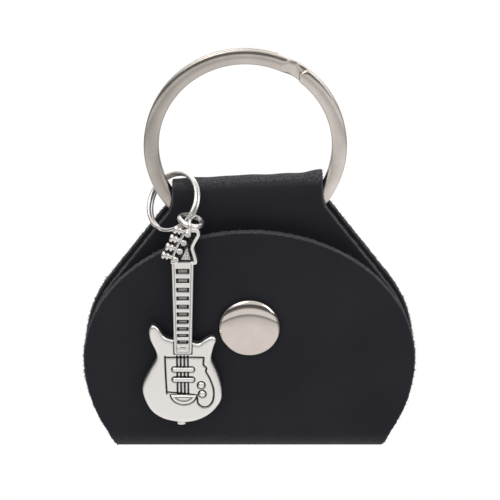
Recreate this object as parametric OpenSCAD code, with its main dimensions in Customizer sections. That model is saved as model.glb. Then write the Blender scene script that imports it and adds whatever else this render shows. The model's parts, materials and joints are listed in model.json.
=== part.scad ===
// Guitar pick holder: one folded piece of leather, closed by a press snap, on a flat split key ring.
// A small split ring on the key ring carries a jump ring and a cast guitar charm.
// Millimetres. +Z is up and the front is -Y.
// The origin is where the snap's axis meets the rear face of the back panel.

/* [Leather] */
// Thickness of the leather
leather_t = 1.5; // [1.3:0.1:1.6]
// Half of the front flap's greatest width
flap_half_w = 33.8; // [32:0.2:35]
// Half of the back panel's greatest width
back_half_w = 34; // [32:0.2:35]
// Half of the inner flap's greatest width
inner_half_w = 33.4; // [31:0.2:34]
// Height of the flap's top above the snap's axis
flap_top_z = 20.6; // [18:0.2:22]
// Height of the back panel's rounded outline, if it closed over the top
back_arc_top_z = 20.6; // [18:0.2:22]
// Height of the level where the leather is widest
widest_z = -8.4; // [-10:0.2:-6]
// Lowest point of the inner flap
inner_low_z = -20; // [-21:0.5:-16]
// Gap between the back panel and the inner flap, which is the pocket
pocket_gap = 3; // [2.8:0.1:3.2]
// Gap between the inner flap and the front flap, which the snap fills
snap_gap = 2.9; // [2.9:0.1:3.4]

/* [Folds] */
// Height where the straight panels end and the bottom fold starts
bottom_fold_z = -24.45; // [-26:0.05:-23]
// Half of the leather's width where the bottom fold starts
fold_half_w = 29.4; // [27:0.1:31]
// Half of the leather's width at the fold's lowest line
fold_low_half_w = 27.4; // [25:0.1:29]
// Height where the top fold starts, at its middle
top_fold_z = 26.7; // [26.7:0.1:27.5]
// Slope of the top fold, in degrees, down to the left
top_fold_tilt = 2.8; // [0:0.1:3]
// Half of the neck's width
neck_half_w = 14.9; // [14.3:0.1:14.9]
// Sideways shift of the neck's middle
neck_x = -0.4; // [-0.5:0.1:-0.3]
// Slope of the shoulders, sideways over up
shoulder_slope = 0.766; // [0.7:0.01:0.85]
// Radius of the fillet between shoulder and neck
neck_fillet_r = 6; // [4:0.5:6.5]

/* [Snap] */
// Diameter of the snap's cap
cap_d = 12.5; // [11:0.1:13]
// Height of the cap's dome
cap_h = 1.9; // [1.5:0.1:2.4]
// Thickness of the cap's sheet metal
cap_sheet = 0.35; // [0.25:0.05:0.5]
// Diameter of the socket
socket_d = 10; // [9:0.1:11]
// Diameter of the stud's flange
stud_flange_d = 8.8; // [8:0.1:10]
// Diameter of the stud's head
stud_head_d = 4; // [3.8:0.05:4.2]
// Clearance round the stud's head in the socket
stud_clearance = 0.3; // [0.2:0.05:0.4]

/* [Key ring] */
// Outer diameter
key_ring_d = 40; // [39:0.1:40.4]
// Width of the flat band
key_band_w = 2.95; // [2.7:0.05:2.95]
// Thickness of one of the two turns
key_turn_t = 1.05; // [0.9:0.05:1.1]
// Height of the ring's centre above the snap's axis
key_ring_z = 35.8; // [35.6:0.1:35.8]
// Sideways shift of the ring
key_ring_x = -0.8; // [-0.9:0.1:-0.7]
// Direction of the split, in degrees from +X
key_split_angle = 55; // [40:1:70]

/* [Charm rings] */
// Radius of the small split ring, to the middle of its wire
small_ring_r = 5.95; // [5.9:0.01:6]
// Wire diameter of the small split ring
small_wire_d = 0.8; // [0.6:0.05:0.8]
// Radius of the jump ring, to the middle of its wire
jump_ring_r = 2.2; // [2.15:0.01:2.25]
// Wire diameter of the jump ring
jump_wire_d = 1; // [0.8:0.05:1]

/* [Guitar charm] */
// Thickness of the charm's body
charm_t = 1.8; // [1.4:0.1:2]
// Thickness of the neck and the headstock
charm_neck_t = 1.5; // [1.2:0.1:1.8]
// Height of the raised details
charm_relief = 0.3; // [0.15:0.05:0.4]
// Depth of the sunk grooves
charm_groove = 0.35; // [0.2:0.05:0.5]
// Number of frets on the neck
fret_count = 11; // [8:1:14]

/* [Hidden] */
$fn = 72;

// Depths of the three leather layers, from the back to the front
inner_rear_y = -leather_t - pocket_gap;
inner_front_y = inner_rear_y - leather_t;
flap_rear_y = inner_front_y - snap_gap;
flap_front_y = flap_rear_y - leather_t;

// The bottom fold is half a tube about an axis along X
bottom_fold_r = -flap_front_y / 2;
bottom_axis_y = flap_front_y / 2;
// The top fold is half a tube about an axis that leans by top_fold_tilt
top_fold_r = -inner_front_y / 2;
top_axis_y = inner_front_y / 2;

arc_steps = 40;
tall = 200;

key_ring_y = top_axis_y;
key_turn_gap = 0.05;
key_t = 2 * key_turn_t + key_turn_gap;
key_mean_r = key_ring_d / 2 - key_band_w / 2;

small_ring_pos = [-15.06, -5.5, 25.11];
small_ring_turn = [36.8, -46.6, 0];
small_pitch = small_wire_d + 0.05;

jump_ring_pos = [-11.45, -10.45, 23.11];
jump_ring_turn = [5.7, 16.6, 0];

charm_x = -13.4;
charm_mid_y = -12.1;
charm_front_y = charm_mid_y - charm_t / 2;
bail_pos = [-11.6, -12.65, 22.95];
bail_r = 1.15;
bail_wire_d = 0.9;

// Sheet metal and clearances in the snap
snap_sheet = 0.45;
post_r = 1.75;
post_bore_r = 1.3;
eyelet_r = 1.25;
eyelet_bore_r = 0.9;
hole_clearance = 0.05;
socket_mouth_y = inner_front_y - snap_sheet - 0.2;
socket_bore_r = stud_head_d / 2 + stud_clearance;
spring_wire_d = 0.5;
spring_y = socket_mouth_y - 0.45;
stud_tip_y = flap_rear_y + 0.8;

// ---- Outlines, seen from the front as [x, z] ----

// Arc of an ellipse with half axes a and b about [0, cz]
function arc(a, b, cz, from, to, n = arc_steps) =
    [for (i = [0 : n]) let (t = from + (to - from) * i / n) [a * cos(t), cz + b * sin(t)]];

// Half axis of the lower ellipse that passes through the start of the bottom fold
function low_b(a) = (widest_z - bottom_fold_z) / sqrt(1 - pow(fold_half_w / a, 2));

function low_angle(a) = acos(fold_half_w / a);

// Right-hand side from the bottom fold's lowest line up to the widest level
function low_side(a) = concat(
    [[fold_low_half_w, bottom_fold_z - bottom_fold_r - 0.5]],
    [for (p = arc(a, low_b(a), widest_z, -low_angle(a), 0)) if (p[1] > bottom_fold_z + 0.2) p]
);

function mirrored(points) = [for (i = [len(points) - 1 : -1 : 0]) [-points[i][0], points[i][1]]];

// Half disc: the front flap and its share of the bottom fold
function flap_outline(a) = concat(
    low_side(a),
    [for (i = [1 : 2 * arc_steps - 1]) let (t = 180 * i / (2 * arc_steps))
        [a * cos(t), widest_z + (flap_top_z - widest_z) * sin(t)]],
    mirrored(low_side(a))
);

// Right-hand side from the widest level, along the shoulder and up the neck
function shoulder_side(a, neck) =
    let (
        b = back_arc_top_z - widest_z,
        t = atan(shoulder_slope * b / a),
        start = [a * cos(t), widest_z + b * sin(t)],
        lean = atan(shoulder_slope),
        r = neck_fillet_r,
        fillet_z = start[1] + r * sin(lean) + (start[0] - neck - r * (1 - cos(lean))) / shoulder_slope
    )
    concat(
        arc(a, b, widest_z, 0, t, 12),
        [for (i = [0 : 10]) let (q = 180 + lean * (1 - i / 10)) [neck + r + r * cos(q), fillet_z + r * sin(q)]],
        [[neck, top_fold_z + 2 * top_fold_r]]
    );

function back_outline(a) = concat(
    low_side(a),
    [for (p = shoulder_side(a, neck_half_w + neck_x)) if (p[1] > widest_z) p],
    mirrored([for (p = shoulder_side(a, neck_half_w - neck_x)) if (p[1] > widest_z) p]),
    mirrored(low_side(a))
);

// Inner flap: the same shoulders over a shallow rounded end
function inner_outline(a) = concat(
    arc(a, widest_z - inner_low_z, widest_z, -90, 0),
    [for (p = shoulder_side(a, neck_half_w + neck_x)) if (p[1] > widest_z) p],
    mirrored([for (p = shoulder_side(a, neck_half_w - neck_x)) if (p[1] > widest_z) p]),
    mirrored(arc(a, widest_z - inner_low_z, widest_z, -90, 0))
);

// ---- Leather building blocks ----

// Extrude an [x, z] shape from y_front to y_rear
module slab(y_front, y_rear) {
    translate([0, y_rear, 0])
        rotate([90, 0, 0])
            linear_extrude(y_rear - y_front)
                children();
}

// Keep what lies inside an outline, at any depth
module cut_to(outline) {
    intersection() {
        slab(-tall / 2, tall / 2) polygon(outline);
        union() children();
    }
}

// Part of a leather tube about the X axis, with angles counted from +Y towards +Z
module tube_part(r, from, to) {
    rotate([90, 0, 90])
        rotate([0, 0, from])
            rotate_extrude(angle = to - from, $fn = 180)
                translate([r - leather_t, -tall / 4])
                    square([leather_t, tall / 2]);
}

module bottom_tube(from, to) {
    translate([0, bottom_axis_y, bottom_fold_z])
        tube_part(bottom_fold_r, from, to);
}

// Half space below the start of the top fold
module below_top_fold() {
    at_top_fold()
        translate([-tall / 2, -tall / 2, -tall])
            cube(tall);
}

// Upright strip that runs on into one eighth of the bottom fold, drawn as [y, z].
// The side is 1 for the rear strip and -1 for the front one.
module bent_strip(side) {
    rotate([90, 0, 90])
        linear_extrude(tall / 2, center = true)
            translate([bottom_axis_y, bottom_fold_z])
                difference() {
                    union() {
                        circle(bottom_fold_r, $fn = 180);
                        translate([side > 0 ? 0 : -bottom_fold_r, 0])
                            square([bottom_fold_r, tall / 2]);
                    }
                    circle(bottom_fold_r - leather_t, $fn = 180);
                    translate([side > 0 ? 0 : leather_t - bottom_fold_r, 0])
                        square([bottom_fold_r - leather_t, tall]);
                    polygon([
                        [0, tall], [-side * tall, tall], [-side * tall, -tall],
                        [side * tall, -tall], [0, 0]
                    ]);
                }
}

// Frame of the leaning top fold
module at_top_fold() {
    translate([neck_x, 0, top_fold_z])
        rotate([0, -top_fold_tilt, 0])
            children();
}

module snap_hole(r) {
    rotate([90, 0, 0])
        cylinder(h = tall, r = r, center = true);
}

// ---- Leather ----

module back_panel() {
    color([0.16, 0.165, 0.18])
        cut_to(back_outline(back_half_w))
            intersection() {
                bent_strip(1);
                below_top_fold();
            }
}

module top_fold() {
    color([0.18, 0.185, 0.2])
        cut_to(back_outline(back_half_w))
            at_top_fold()
                translate([0, top_axis_y, 0])
                    tube_part(top_fold_r, 0, 180);
}

module bottom_fold() {
    color([0.17, 0.175, 0.19])
        cut_to(flap_outline(flap_half_w))
            bottom_tube(225, 315);
}

module front_flap() {
    color([0.16, 0.165, 0.18])
        difference() {
            cut_to(flap_outline(flap_half_w))
                bent_strip(-1);
            snap_hole(post_r + hole_clearance);
        }
}

module inner_flap() {
    color([0.16, 0.165, 0.18])
        difference() {
            cut_to(inner_outline(inner_half_w))
                intersection() {
                    slab(inner_front_y, inner_rear_y)
                        square(tall, center = true);
                    below_top_fold();
                }
            snap_hole(eyelet_r + hole_clearance);
        }
}

// ---- Snap ----

// Turn an [r, height] profile about the snap's axis, with heights counted from y towards the front
module turned(y) {
    translate([0, y, 0])
        rotate([90, 0, 0])
            rotate_extrude()
                children();
}

// Dome with a flat crown and a steep edge, as [r, height] points
function dome(r, h, n = 20) =
    [for (i = [0 : n]) let (q = 90 * i / n) [r * pow(sin(q), 0.8), h * pow(cos(q), 0.62)]];

module snap_cap() {
    inner = dome(cap_d / 2 - cap_sheet, cap_h - cap_sheet);
    color("silver")
        turned(flap_front_y)
            polygon(concat(dome(cap_d / 2, cap_h), [for (i = [len(inner) - 1 : -1 : 0]) inner[i]]));
}

module snap_cap_post() {
    disc_r = cap_d / 2 - cap_sheet - 0.6;
    barrel_end = flap_rear_y + snap_sheet + 0.25 - flap_front_y;
    color("silver")
        turned(flap_front_y)
            polygon([
                [post_bore_r, cap_sheet + 0.05], [post_bore_r, -barrel_end],
                [post_r + snap_sheet, -barrel_end], [post_r + snap_sheet, -barrel_end + 0.2],
                [post_r, -barrel_end + 0.25], [post_r, 0],
                [disc_r, 0], [disc_r, cap_sheet + 0.05]
            ]);
}

module snap_socket() {
    depth = socket_mouth_y - flap_rear_y;
    groove_r = socket_bore_r + 0.8;
    groove = [socket_mouth_y - spring_y + spring_wire_d / 2 + 0.05, socket_mouth_y - spring_y - spring_wire_d / 2 - 0.05];
    color("silver")
        turned(socket_mouth_y)
            polygon([
                [socket_bore_r, 0], [socket_bore_r, groove[1]],
                [groove_r, groove[1]], [groove_r, groove[0]],
                [socket_bore_r, groove[0]], [socket_bore_r, depth - snap_sheet],
                [post_r + hole_clearance, depth - snap_sheet], [post_r + hole_clearance, depth],
                [socket_d / 2, depth], [socket_d / 2, 0.4], [socket_d / 2 - 0.4, 0]
            ]);
}

module socket_spring() {
    mean_r = post_r + 0.1 + spring_wire_d / 2;
    color("gold")
        translate([0, spring_y, 0])
            rotate([90, 0, 0])
                rotate([0, 0, 100])
                    rotate_extrude(angle = 340)
                        translate([mean_r, 0])
                            circle(d = spring_wire_d, $fn = 24);
}

module snap_stud() {
    head_r = stud_head_d / 2;
    tip = inner_front_y - stud_tip_y;
    color("silver")
        turned(inner_front_y)
            polygon([
                [eyelet_r + hole_clearance, 0], [stud_flange_d / 2, 0], [stud_flange_d / 2, snap_sheet - 0.15],
                [stud_flange_d / 2 - 0.2, snap_sheet], [post_r, snap_sheet], [post_r, tip - 0.8],
                [head_r - 0.07, tip - 0.62], [head_r, tip - 0.45], [head_r - 0.1, tip - 0.25],
                [head_r - 0.3, tip - 0.08], [head_r - 0.6, tip], [0, tip], [0, tip - 0.35],
                [eyelet_r + hole_clearance, tip - 0.35]
            ]);
}

module stud_eyelet() {
    barrel = inner_rear_y - stud_tip_y - 0.45;
    flange_r = 4;
    color("silver")
        turned(inner_rear_y)
            polygon([
                [eyelet_bore_r, -0.35], [flange_r - 0.15, -0.35], [flange_r, -0.2], [flange_r, 0],
                [eyelet_r, 0], [eyelet_r, barrel], [eyelet_bore_r, barrel]
            ]);
}

// ---- Rings ----

// Cut through the band over part of its circle, between two heights
module band_cut(from, sweep, low, high) {
    rotate([0, 0, from])
        rotate_extrude(angle = sweep)
            translate([key_mean_r - key_band_w, low])
                square([2 * key_band_w, high - low]);
}

// Two flat turns that touch all round and are one strip where they cross over
module key_ring() {
    slit = 3;
    crossing = 8;
    color([0.78, 0.75, 0.7])
        translate([key_ring_x, key_ring_y, key_ring_z])
            rotate([90, 0, 0])
                difference() {
                    cylinder(h = key_t, d = key_ring_d, center = true, $fn = 180);
                    cylinder(h = 2 * key_t, d = key_ring_d - 2 * key_band_w, center = true, $fn = 180);
                    band_cut(key_split_angle + slit + crossing + 1, 358 - crossing, -key_turn_gap / 2, key_turn_gap / 2);
                    band_cut(key_split_angle, slit, 0, key_t);
                    band_cut(key_split_angle + slit + crossing, slit, -key_t, 0);
                }
}

// Round wire along part of a circle at a given height
module wire_turn(r, d, from, sweep, height) {
    translate([0, 0, height])
        rotate([0, 0, from])
            rotate_extrude(angle = sweep)
                translate([r, 0])
                    circle(d = d, $fn = 24);
}

module charm_split_ring() {
    split = 200;
    slit = 14;
    crossing = 8;
    color([0.85, 0.85, 0.86])
        translate(small_ring_pos)
            rotate(small_ring_turn) {
                wire_turn(small_ring_r, small_wire_d, split, 360 - slit, small_pitch / 2);
                wire_turn(small_ring_r, small_wire_d, split, 360 - slit, -small_pitch / 2);
                // The crossing from one turn to the next
                rotate([0, 0, split + 1])
                    rotate_extrude(angle = crossing)
                        translate([small_ring_r - small_wire_d / 4, -small_pitch / 2])
                            square([small_wire_d / 2, small_pitch]);
            }
}

module charm_jump_ring() {
    color([0.85, 0.85, 0.86])
        translate(jump_ring_pos)
            rotate(jump_ring_turn)
                wire_turn(jump_ring_r, jump_wire_d, 122, 354, 0);
}

// ---- Guitar charm, drawn as [x, z] about the neck's centre line ----

// Point on a smooth curve through p1 and p2
function smooth_point(p0, p1, p2, p3, t) =
    0.5 * (2 * p1 + (p2 - p0) * t + (2 * p0 - 5 * p1 + 4 * p2 - p3) * t * t
        + (3 * p1 - p0 - 3 * p2 + p3) * t * t * t);

// Closed smooth curve through a ring of points
function smooth_loop(p, n = 5) =
    let (k = len(p))
    [for (i = [0 : k - 1], j = [0 : n - 1])
        smooth_point(p[(i + k - 1) % k], p[i], p[(i + 1) % k], p[(i + 2) % k], j / n)];

charm_body = smooth_loop([
    [-2, -1.9], [-3.75, -1.1], [-4.8, 0.6], [-5.83, 1.35], [-6.7, 0.5], [-6.6, -1.8], [-5.3, -5.5],
    [-6.75, -8.7], [-8.4, -12.9], [-7.1, -17.4], [-4.5, -19.8], [-0.6, -20.8], [2.6, -20.3],
    [5.5, -18.7], [7.6, -15.6], [7.7, -12.6], [6.6, -9], [5.75, -6], [6.1, -3.6], [6.6, -1.9],
    [5.8, -1.3], [4.4, -1.9], [3.2, -2.7], [1.8, -2.3]
]);

charm_head = [
    [-2.05, 15], [2.5, 15], [3.1, 16.3], [2.5, 17.6], [3.2, 19.6], [3.9, 20.9], [3.6, 21.6],
    [2.5, 22], [1.4, 21.9], [-0.9, 18.6], [-2.05, 16.4]
];

module charm_slab(outline, from, to) {
    translate([charm_x, 0, 0])
        slab(from, to) polygon(outline);
}

module guitar_charm() {
    neck_top = 15.2;
    neck_low = -4.9;
    neck_front_y = charm_front_y - 0.1;
    first_fret = 13.4;
    fret_shrink = 0.955;
    fret_pitch = 2.05;
    color([0.86, 0.85, 0.82])
        difference() {
            union() {
                charm_slab(charm_body, charm_front_y, charm_front_y + charm_t);
                // Neck
                charm_slab([[-1.75, neck_low], [1.75, neck_low], [2.25, neck_top], [-2, neck_top]],
                    neck_front_y, neck_front_y + charm_neck_t);
                charm_slab(charm_head, neck_front_y, neck_front_y + charm_neck_t);
                // Strap button
                charm_slab([[-1.3, -22], [0.1, -22], [0.1, -20.3], [-1.3, -20.3]],
                    charm_mid_y - 0.5, charm_mid_y + 0.5);
                // Tuner posts and their keys, in a slanted row
                for (i = [0 : 3]) {
                    post = [1.42 - 0.82 * i, 21.2 - 1.95 * i];
                    translate([charm_x + post[0], neck_front_y, post[1]])
                        rotate([90, 0, 0])
                            cylinder(h = charm_relief, d = 1.1, $fn = 24);
                    translate([charm_x + post[0] - 1.6, charm_mid_y, post[1] + 0.7])
                        rotate([0, 90 + 25, 0])
                            cylinder(h = 2.8, d = 0.9, center = true, $fn = 24);
                }
                // Pickups, bridge and knobs
                for (z = [-8.5, -10.8])
                    charm_slab([[-2.3, z - 0.5], [2.3, z - 0.5], [2.3, z + 0.5], [-2.3, z + 0.5]],
                        charm_front_y - charm_relief, charm_front_y + 0.2);
                charm_slab(arc(2.6, 2.2, -14.3, -180, 0, 16), charm_front_y - charm_relief, charm_front_y + 0.2);
                for (p = [[3.55, -12.1], [3.75, -14.1]])
                    translate([charm_x + p[0], charm_front_y, p[1]])
                        rotate([90, 0, 0])
                            cylinder(h = charm_relief, d = 1.4, $fn = 24);
                // Bail that the jump ring passes through
                translate(bail_pos)
                    rotate([0, 90, 0])
                        wire_turn(bail_r, bail_wire_d, 0, 360, 0);
            }
            // Frets: sunk fields between raised bars, closer together towards the body
            for (i = [0 : fret_count - 1]) {
                z = first_fret - fret_pitch * (1 - pow(fret_shrink, i)) / (1 - fret_shrink);
                half = 1.3 - 0.03 * i;
                translate([charm_x + 0.15 - half, neck_front_y - 1, z - 0.35])
                    cube([2 * half, 1 + charm_groove, 0.7]);
            }
        }
}

back_panel();
top_fold();
bottom_fold();
front_flap();
inner_flap();
snap_cap();
snap_cap_post();
snap_socket();
socket_spring();
snap_stud();
stud_eyelet();
key_ring();
charm_split_ring();
charm_jump_ring();
guitar_charm();
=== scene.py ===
import json
import math

import bmesh
import bpy
import numpy as np
from mathutils import Matrix, Vector
from mathutils.geometry import delaunay_2d_cdt

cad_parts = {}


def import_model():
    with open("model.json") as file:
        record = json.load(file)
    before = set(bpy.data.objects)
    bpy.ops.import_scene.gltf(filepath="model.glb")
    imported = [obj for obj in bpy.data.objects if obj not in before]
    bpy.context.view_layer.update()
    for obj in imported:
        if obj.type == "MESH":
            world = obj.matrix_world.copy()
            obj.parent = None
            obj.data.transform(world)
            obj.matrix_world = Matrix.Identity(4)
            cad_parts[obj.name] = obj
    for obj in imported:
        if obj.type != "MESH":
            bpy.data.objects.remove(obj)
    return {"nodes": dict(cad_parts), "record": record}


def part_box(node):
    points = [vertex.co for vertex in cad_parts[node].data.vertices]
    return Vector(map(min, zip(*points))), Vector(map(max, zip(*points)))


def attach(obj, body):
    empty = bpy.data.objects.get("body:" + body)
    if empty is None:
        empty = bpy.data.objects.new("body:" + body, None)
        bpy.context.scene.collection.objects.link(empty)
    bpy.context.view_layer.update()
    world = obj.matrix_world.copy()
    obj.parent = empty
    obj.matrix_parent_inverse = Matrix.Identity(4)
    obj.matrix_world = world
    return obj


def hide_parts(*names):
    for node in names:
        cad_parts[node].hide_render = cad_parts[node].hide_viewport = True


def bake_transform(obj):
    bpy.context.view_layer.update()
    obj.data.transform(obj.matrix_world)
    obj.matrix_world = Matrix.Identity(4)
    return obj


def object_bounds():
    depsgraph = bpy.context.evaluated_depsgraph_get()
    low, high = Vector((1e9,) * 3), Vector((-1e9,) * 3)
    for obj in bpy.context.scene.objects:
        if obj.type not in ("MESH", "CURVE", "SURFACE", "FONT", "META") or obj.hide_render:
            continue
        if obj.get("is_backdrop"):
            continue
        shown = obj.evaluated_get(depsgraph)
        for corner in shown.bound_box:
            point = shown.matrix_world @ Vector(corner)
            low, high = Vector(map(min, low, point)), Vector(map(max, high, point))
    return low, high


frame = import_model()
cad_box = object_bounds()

# Guitar pick holder: folded leather, press snap, flat split key ring and a cast guitar charm.
# Shapes are worked out in millimetres and become metres where a mesh is made.
MM = 0.001
RNG = np.random.default_rng(7)


def node_box(name):
    """Lowest and highest corner of a CAD node in millimetres."""
    low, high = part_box(name)
    return np.array(low) / MM, np.array(high) / MM


def joint(name):
    """The record's entry for a joint."""
    return next(j for j in frame["record"]["behaviour"]["joints"] if j["name"] == name)


# ---- Sizes that come from the frame ----
FLAP_LOW, FLAP_HIGH = node_box("front_flap")
BACK_LOW, BACK_HIGH = node_box("back_panel")
INNER_LOW, INNER_HIGH = node_box("inner_flap")
FOLD_LOW_Z = node_box("bottom_fold")[0][2]
CAP_LOW, CAP_HIGH = node_box("snap_cap")
KEY_LOW, KEY_HIGH = node_box("key_ring")
KEY_CENTRE = (KEY_LOW + KEY_HIGH) / 2
SMALL_RING_CENTRE = sum(node_box("charm_split_ring")) / 2
JUMP_RING_CENTRE = sum(node_box("charm_jump_ring")) / 2
CHARM_EYE = np.array(joint("charm_swing")["pos_m"]) / MM

LEATHER_T = INNER_HIGH[1] - INNER_LOW[1]
FOLD_R = -FLAP_LOW[1] / 2
FOLD_Y = FLAP_LOW[1] / 2
FOLD_Z = FOLD_LOW_Z + FOLD_R
TOP_R = -INNER_LOW[1] / 2
TOP_HINGE = np.array(joint("inner_flap_lift")["pos_m"]) / MM
TOP_AXIS = -np.array(joint("inner_flap_lift")["axis"])
TILT = math.atan2(TOP_AXIS[2], TOP_AXIS[0])
NECK_X = TOP_HINGE[0]
TOP_Z = TOP_HINGE[2]

# ---- Leather outline, the same rules as the CAD outline ----
WIDEST_Z = -8.4
FOLD_HALF_W = 29.4
FOLD_LOW_HALF_W = 27.4
OUTLINE_LOW_Z = FOLD_Z - FOLD_R - 0.5
ARC_TOP_Z = 20.6
SHOULDER_SLOPE = 0.766
NECK_HALF_W = 14.9
FILLET_R = 6.0
STEP = 0.5


def run(start, end):
    """Points along a straight line, without its end."""
    start, end = np.array(start, float), np.array(end, float)
    n = max(1, int(np.linalg.norm(end - start) / STEP))
    return [start + (end - start) * i / n for i in range(n)]


def arc(a, b, cz, start, end):
    """Points along an arc of an ellipse about (0, cz), in degrees, without its end."""
    n = max(2, int(math.radians(abs(end - start)) * (a + b) / 2 / STEP))
    out = []
    for i in range(n):
        t = math.radians(start + (end - start) * i / n)
        out.append(np.array([a * math.cos(t), cz + b * math.sin(t)]))
    return out


def low_side(a):
    """From the start of the bottom fold up to the widest level."""
    b = (WIDEST_Z - FOLD_Z) / math.sqrt(1 - (FOLD_HALF_W / a) ** 2)
    return arc(a, b, WIDEST_Z, -math.degrees(math.acos(FOLD_HALF_W / a)), 0)


def shoulder_side(a, neck):
    """From the widest level along the shoulder to the neck's straight side."""
    b = ARC_TOP_Z - WIDEST_Z
    t = math.atan(SHOULDER_SLOPE * b / a)
    lean = math.atan(SHOULDER_SLOPE)
    start = np.array([a * math.cos(t), WIDEST_Z + b * math.sin(t)])
    reach = start[0] - neck - FILLET_R * (1 - math.cos(lean))
    z = start[1] + FILLET_R * math.sin(lean) + reach / SHOULDER_SLOPE
    out = arc(a, b, WIDEST_Z, 0, math.degrees(t))
    fillet = []
    for i in range(13):
        q = math.pi + lean * (1 - i / 12)
        fillet.append(np.array([neck + FILLET_R + FILLET_R * math.cos(q), z + FILLET_R * math.sin(q)]))
    return out + run(start, fillet[0]) + fillet[:-1]


def bottom_side():
    """From the bottom fold's lowest line to the fold's start, as [x, length along the leather]."""
    mid_r = FOLD_R - LEATHER_T / 2
    slope = (FOLD_HALF_W - FOLD_LOW_HALF_W) / (FOLD_Z - OUTLINE_LOW_Z)
    out = []
    for i in range(14):
        q = math.pi / 2 * (1 - i / 14)
        out.append(np.array([FOLD_HALF_W - FOLD_R * math.sin(q) * slope, FOLD_Z - mid_r * q]))
    return out


def mirrored(points):
    """The same points on the other side of x = 0, in reverse order."""
    return [np.array([-p[0], p[1]]) for p in reversed(points)]


# ---- Mesh tools ----

def inside(points, loop):
    """Which points lie inside a closed loop."""
    x, y = points[:, 0], points[:, 1]
    hit = np.zeros(len(points), bool)
    for (x0, y0), (x1, y1) in zip(loop, np.roll(loop, -1, 0)):
        if y0 == y1:
            continue
        crosses = (y0 > y) != (y1 > y)
        hit ^= crosses & (x < (x1 - x0) * (y - y0) / (y1 - y0) + x0)
    return hit


def distance_to(points, path, closed=True):
    """Distance from each point to a path."""
    best = np.full(len(points), 1e9)
    ends = np.roll(path, -1, 0) if closed else path[1:]
    for a, b in zip(path, ends):
        d = b - a
        t = np.clip((points - a) @ d / max(d @ d, 1e-12), 0, 1)
        best = np.minimum(best, np.hypot(*(points - a - t[:, None] * d).T))
    return best


def triangulate(loops, spacing):
    """Even triangles inside the first loop and outside the others. The loops' points come first."""
    outer = loops[0]
    low, high = outer.min(0), outer.max(0)
    rise = spacing * math.sqrt(3) / 2
    grid = []
    for row in range(int((high[1] - low[1]) / rise) + 1):
        shift = spacing / 2 * (row % 2)
        xs = np.arange(low[0] + shift, high[0], spacing)
        grid.append(np.column_stack([xs, np.full(len(xs), low[1] + rise * (row + 0.5))]))
    grid = np.vstack(grid)
    grid = grid[inside(grid, outer)]
    for loop in loops[1:]:
        grid = grid[~inside(grid, loop)]
    for loop in loops:
        grid = grid[distance_to(grid, loop) > 0.6 * spacing]
    points = np.vstack([*loops, grid])
    edges, first = [], 0
    for loop in loops:
        n = len(loop)
        edges += [(first + i, first + (i + 1) % n) for i in range(n)]
        first += n
    got = delaunay_2d_cdt([Vector(p) for p in points], edges, [], 0, 1e-7)
    old = [o[0] if o else -1 for o in got[3]]
    tris = np.array([[old[i] for i in f] for f in got[2] if len(f) == 3])
    assert tris.min() >= 0, "an outline crosses itself"
    middle = points[tris].mean(1)
    keep = inside(middle, outer)
    for loop in loops[1:]:
        keep &= ~inside(middle, loop)
    tris = tris[keep]
    a, b, c = points[tris[:, 0]], points[tris[:, 1]], points[tris[:, 2]]
    area = (b[:, 0] - a[:, 0]) * (c[:, 1] - a[:, 1]) - (b[:, 1] - a[:, 1]) * (c[:, 0] - a[:, 0])
    tris[area < 0] = tris[area < 0][:, ::-1]
    return points, tris


def outward(loop):
    """Unit normals of a closed loop, away from its inside."""
    d = np.roll(loop, -1, 0) - np.roll(loop, 1, 0)
    n = np.column_stack([d[:, 1], -d[:, 0]])
    n /= np.maximum(np.hypot(*n.T), 1e-9)[:, None]
    x, y = loop.T
    turn = np.sum(x * np.roll(y, -1) - np.roll(x, -1) * y)
    return n if turn > 0 else -n


def plate(loops, spacing, rim, place, front, back, fade=None):
    """Closed plate. rim lists [inset, share] from the front to the back, where share 0 is the front
    surface and 1 the back. place(points, height) gives 3-D points. Returns points, faces and the
    share of each point."""
    fade = np.ones(len(loops[0])) if fade is None else fade
    # The rim of a hole isn't inset
    scales = [fade] + [np.zeros(len(loop)) for loop in loops[1:]]
    normals = [outward(loops[0])] + [-outward(loop) for loop in loops[1:]]
    inset = [loop - n * (rim[0][0] * s)[:, None] for loop, n, s in zip(loops, normals, scales)]
    flat, tris = triangulate(inset, spacing)
    n = len(flat)
    top, low = front(flat), back(flat)
    rows = [place(flat, top), place(flat, low)]
    share = [np.zeros(n), np.ones(n)]
    faces = [tuple(t) for t in tris] + [tuple(t[::-1] + n) for t in tris]
    count, first = 2 * n, 0
    for loop, normal, scale in zip(loops, normals, scales):
        size = len(loop)
        previous = list(range(first, first + size))
        h0, h1 = top[first:first + size], low[first:first + size]
        last = [n + k for k in previous]
        for inset_k, share_k in rim[1:-1]:
            at = loop - normal * (inset_k * scale)[:, None]
            rows.append(place(at, h0 + (h1 - h0) * share_k))
            share.append(np.full(size, share_k))
            current = list(range(count, count + size))
            faces += strip(previous, current)
            previous = current
            count += size
        faces += strip(previous, last)
        first += size
    return np.vstack(rows), faces, np.concatenate(share)


def strip(a, b):
    """Quads between two closed rows."""
    n = len(a)
    out = []
    for i in range(n):
        j = (i + 1) % n
        out.append((a[j], a[i], b[i], b[j]))
    return out


def sweep(sections):
    """Closed tube through a list of sections, each an array of 3-D points."""
    count = len(sections[0])
    faces = []
    steps = len(sections)
    for k in range(steps - 1):
        a = [k * count + i for i in range(count)]
        b = [(k + 1) * count + i for i in range(count)]
        faces += strip(a, b)
    faces.append(tuple(range(count)))
    faces.append(tuple(reversed(range((steps - 1) * count, steps * count))))
    return np.vstack(sections), faces


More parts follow.
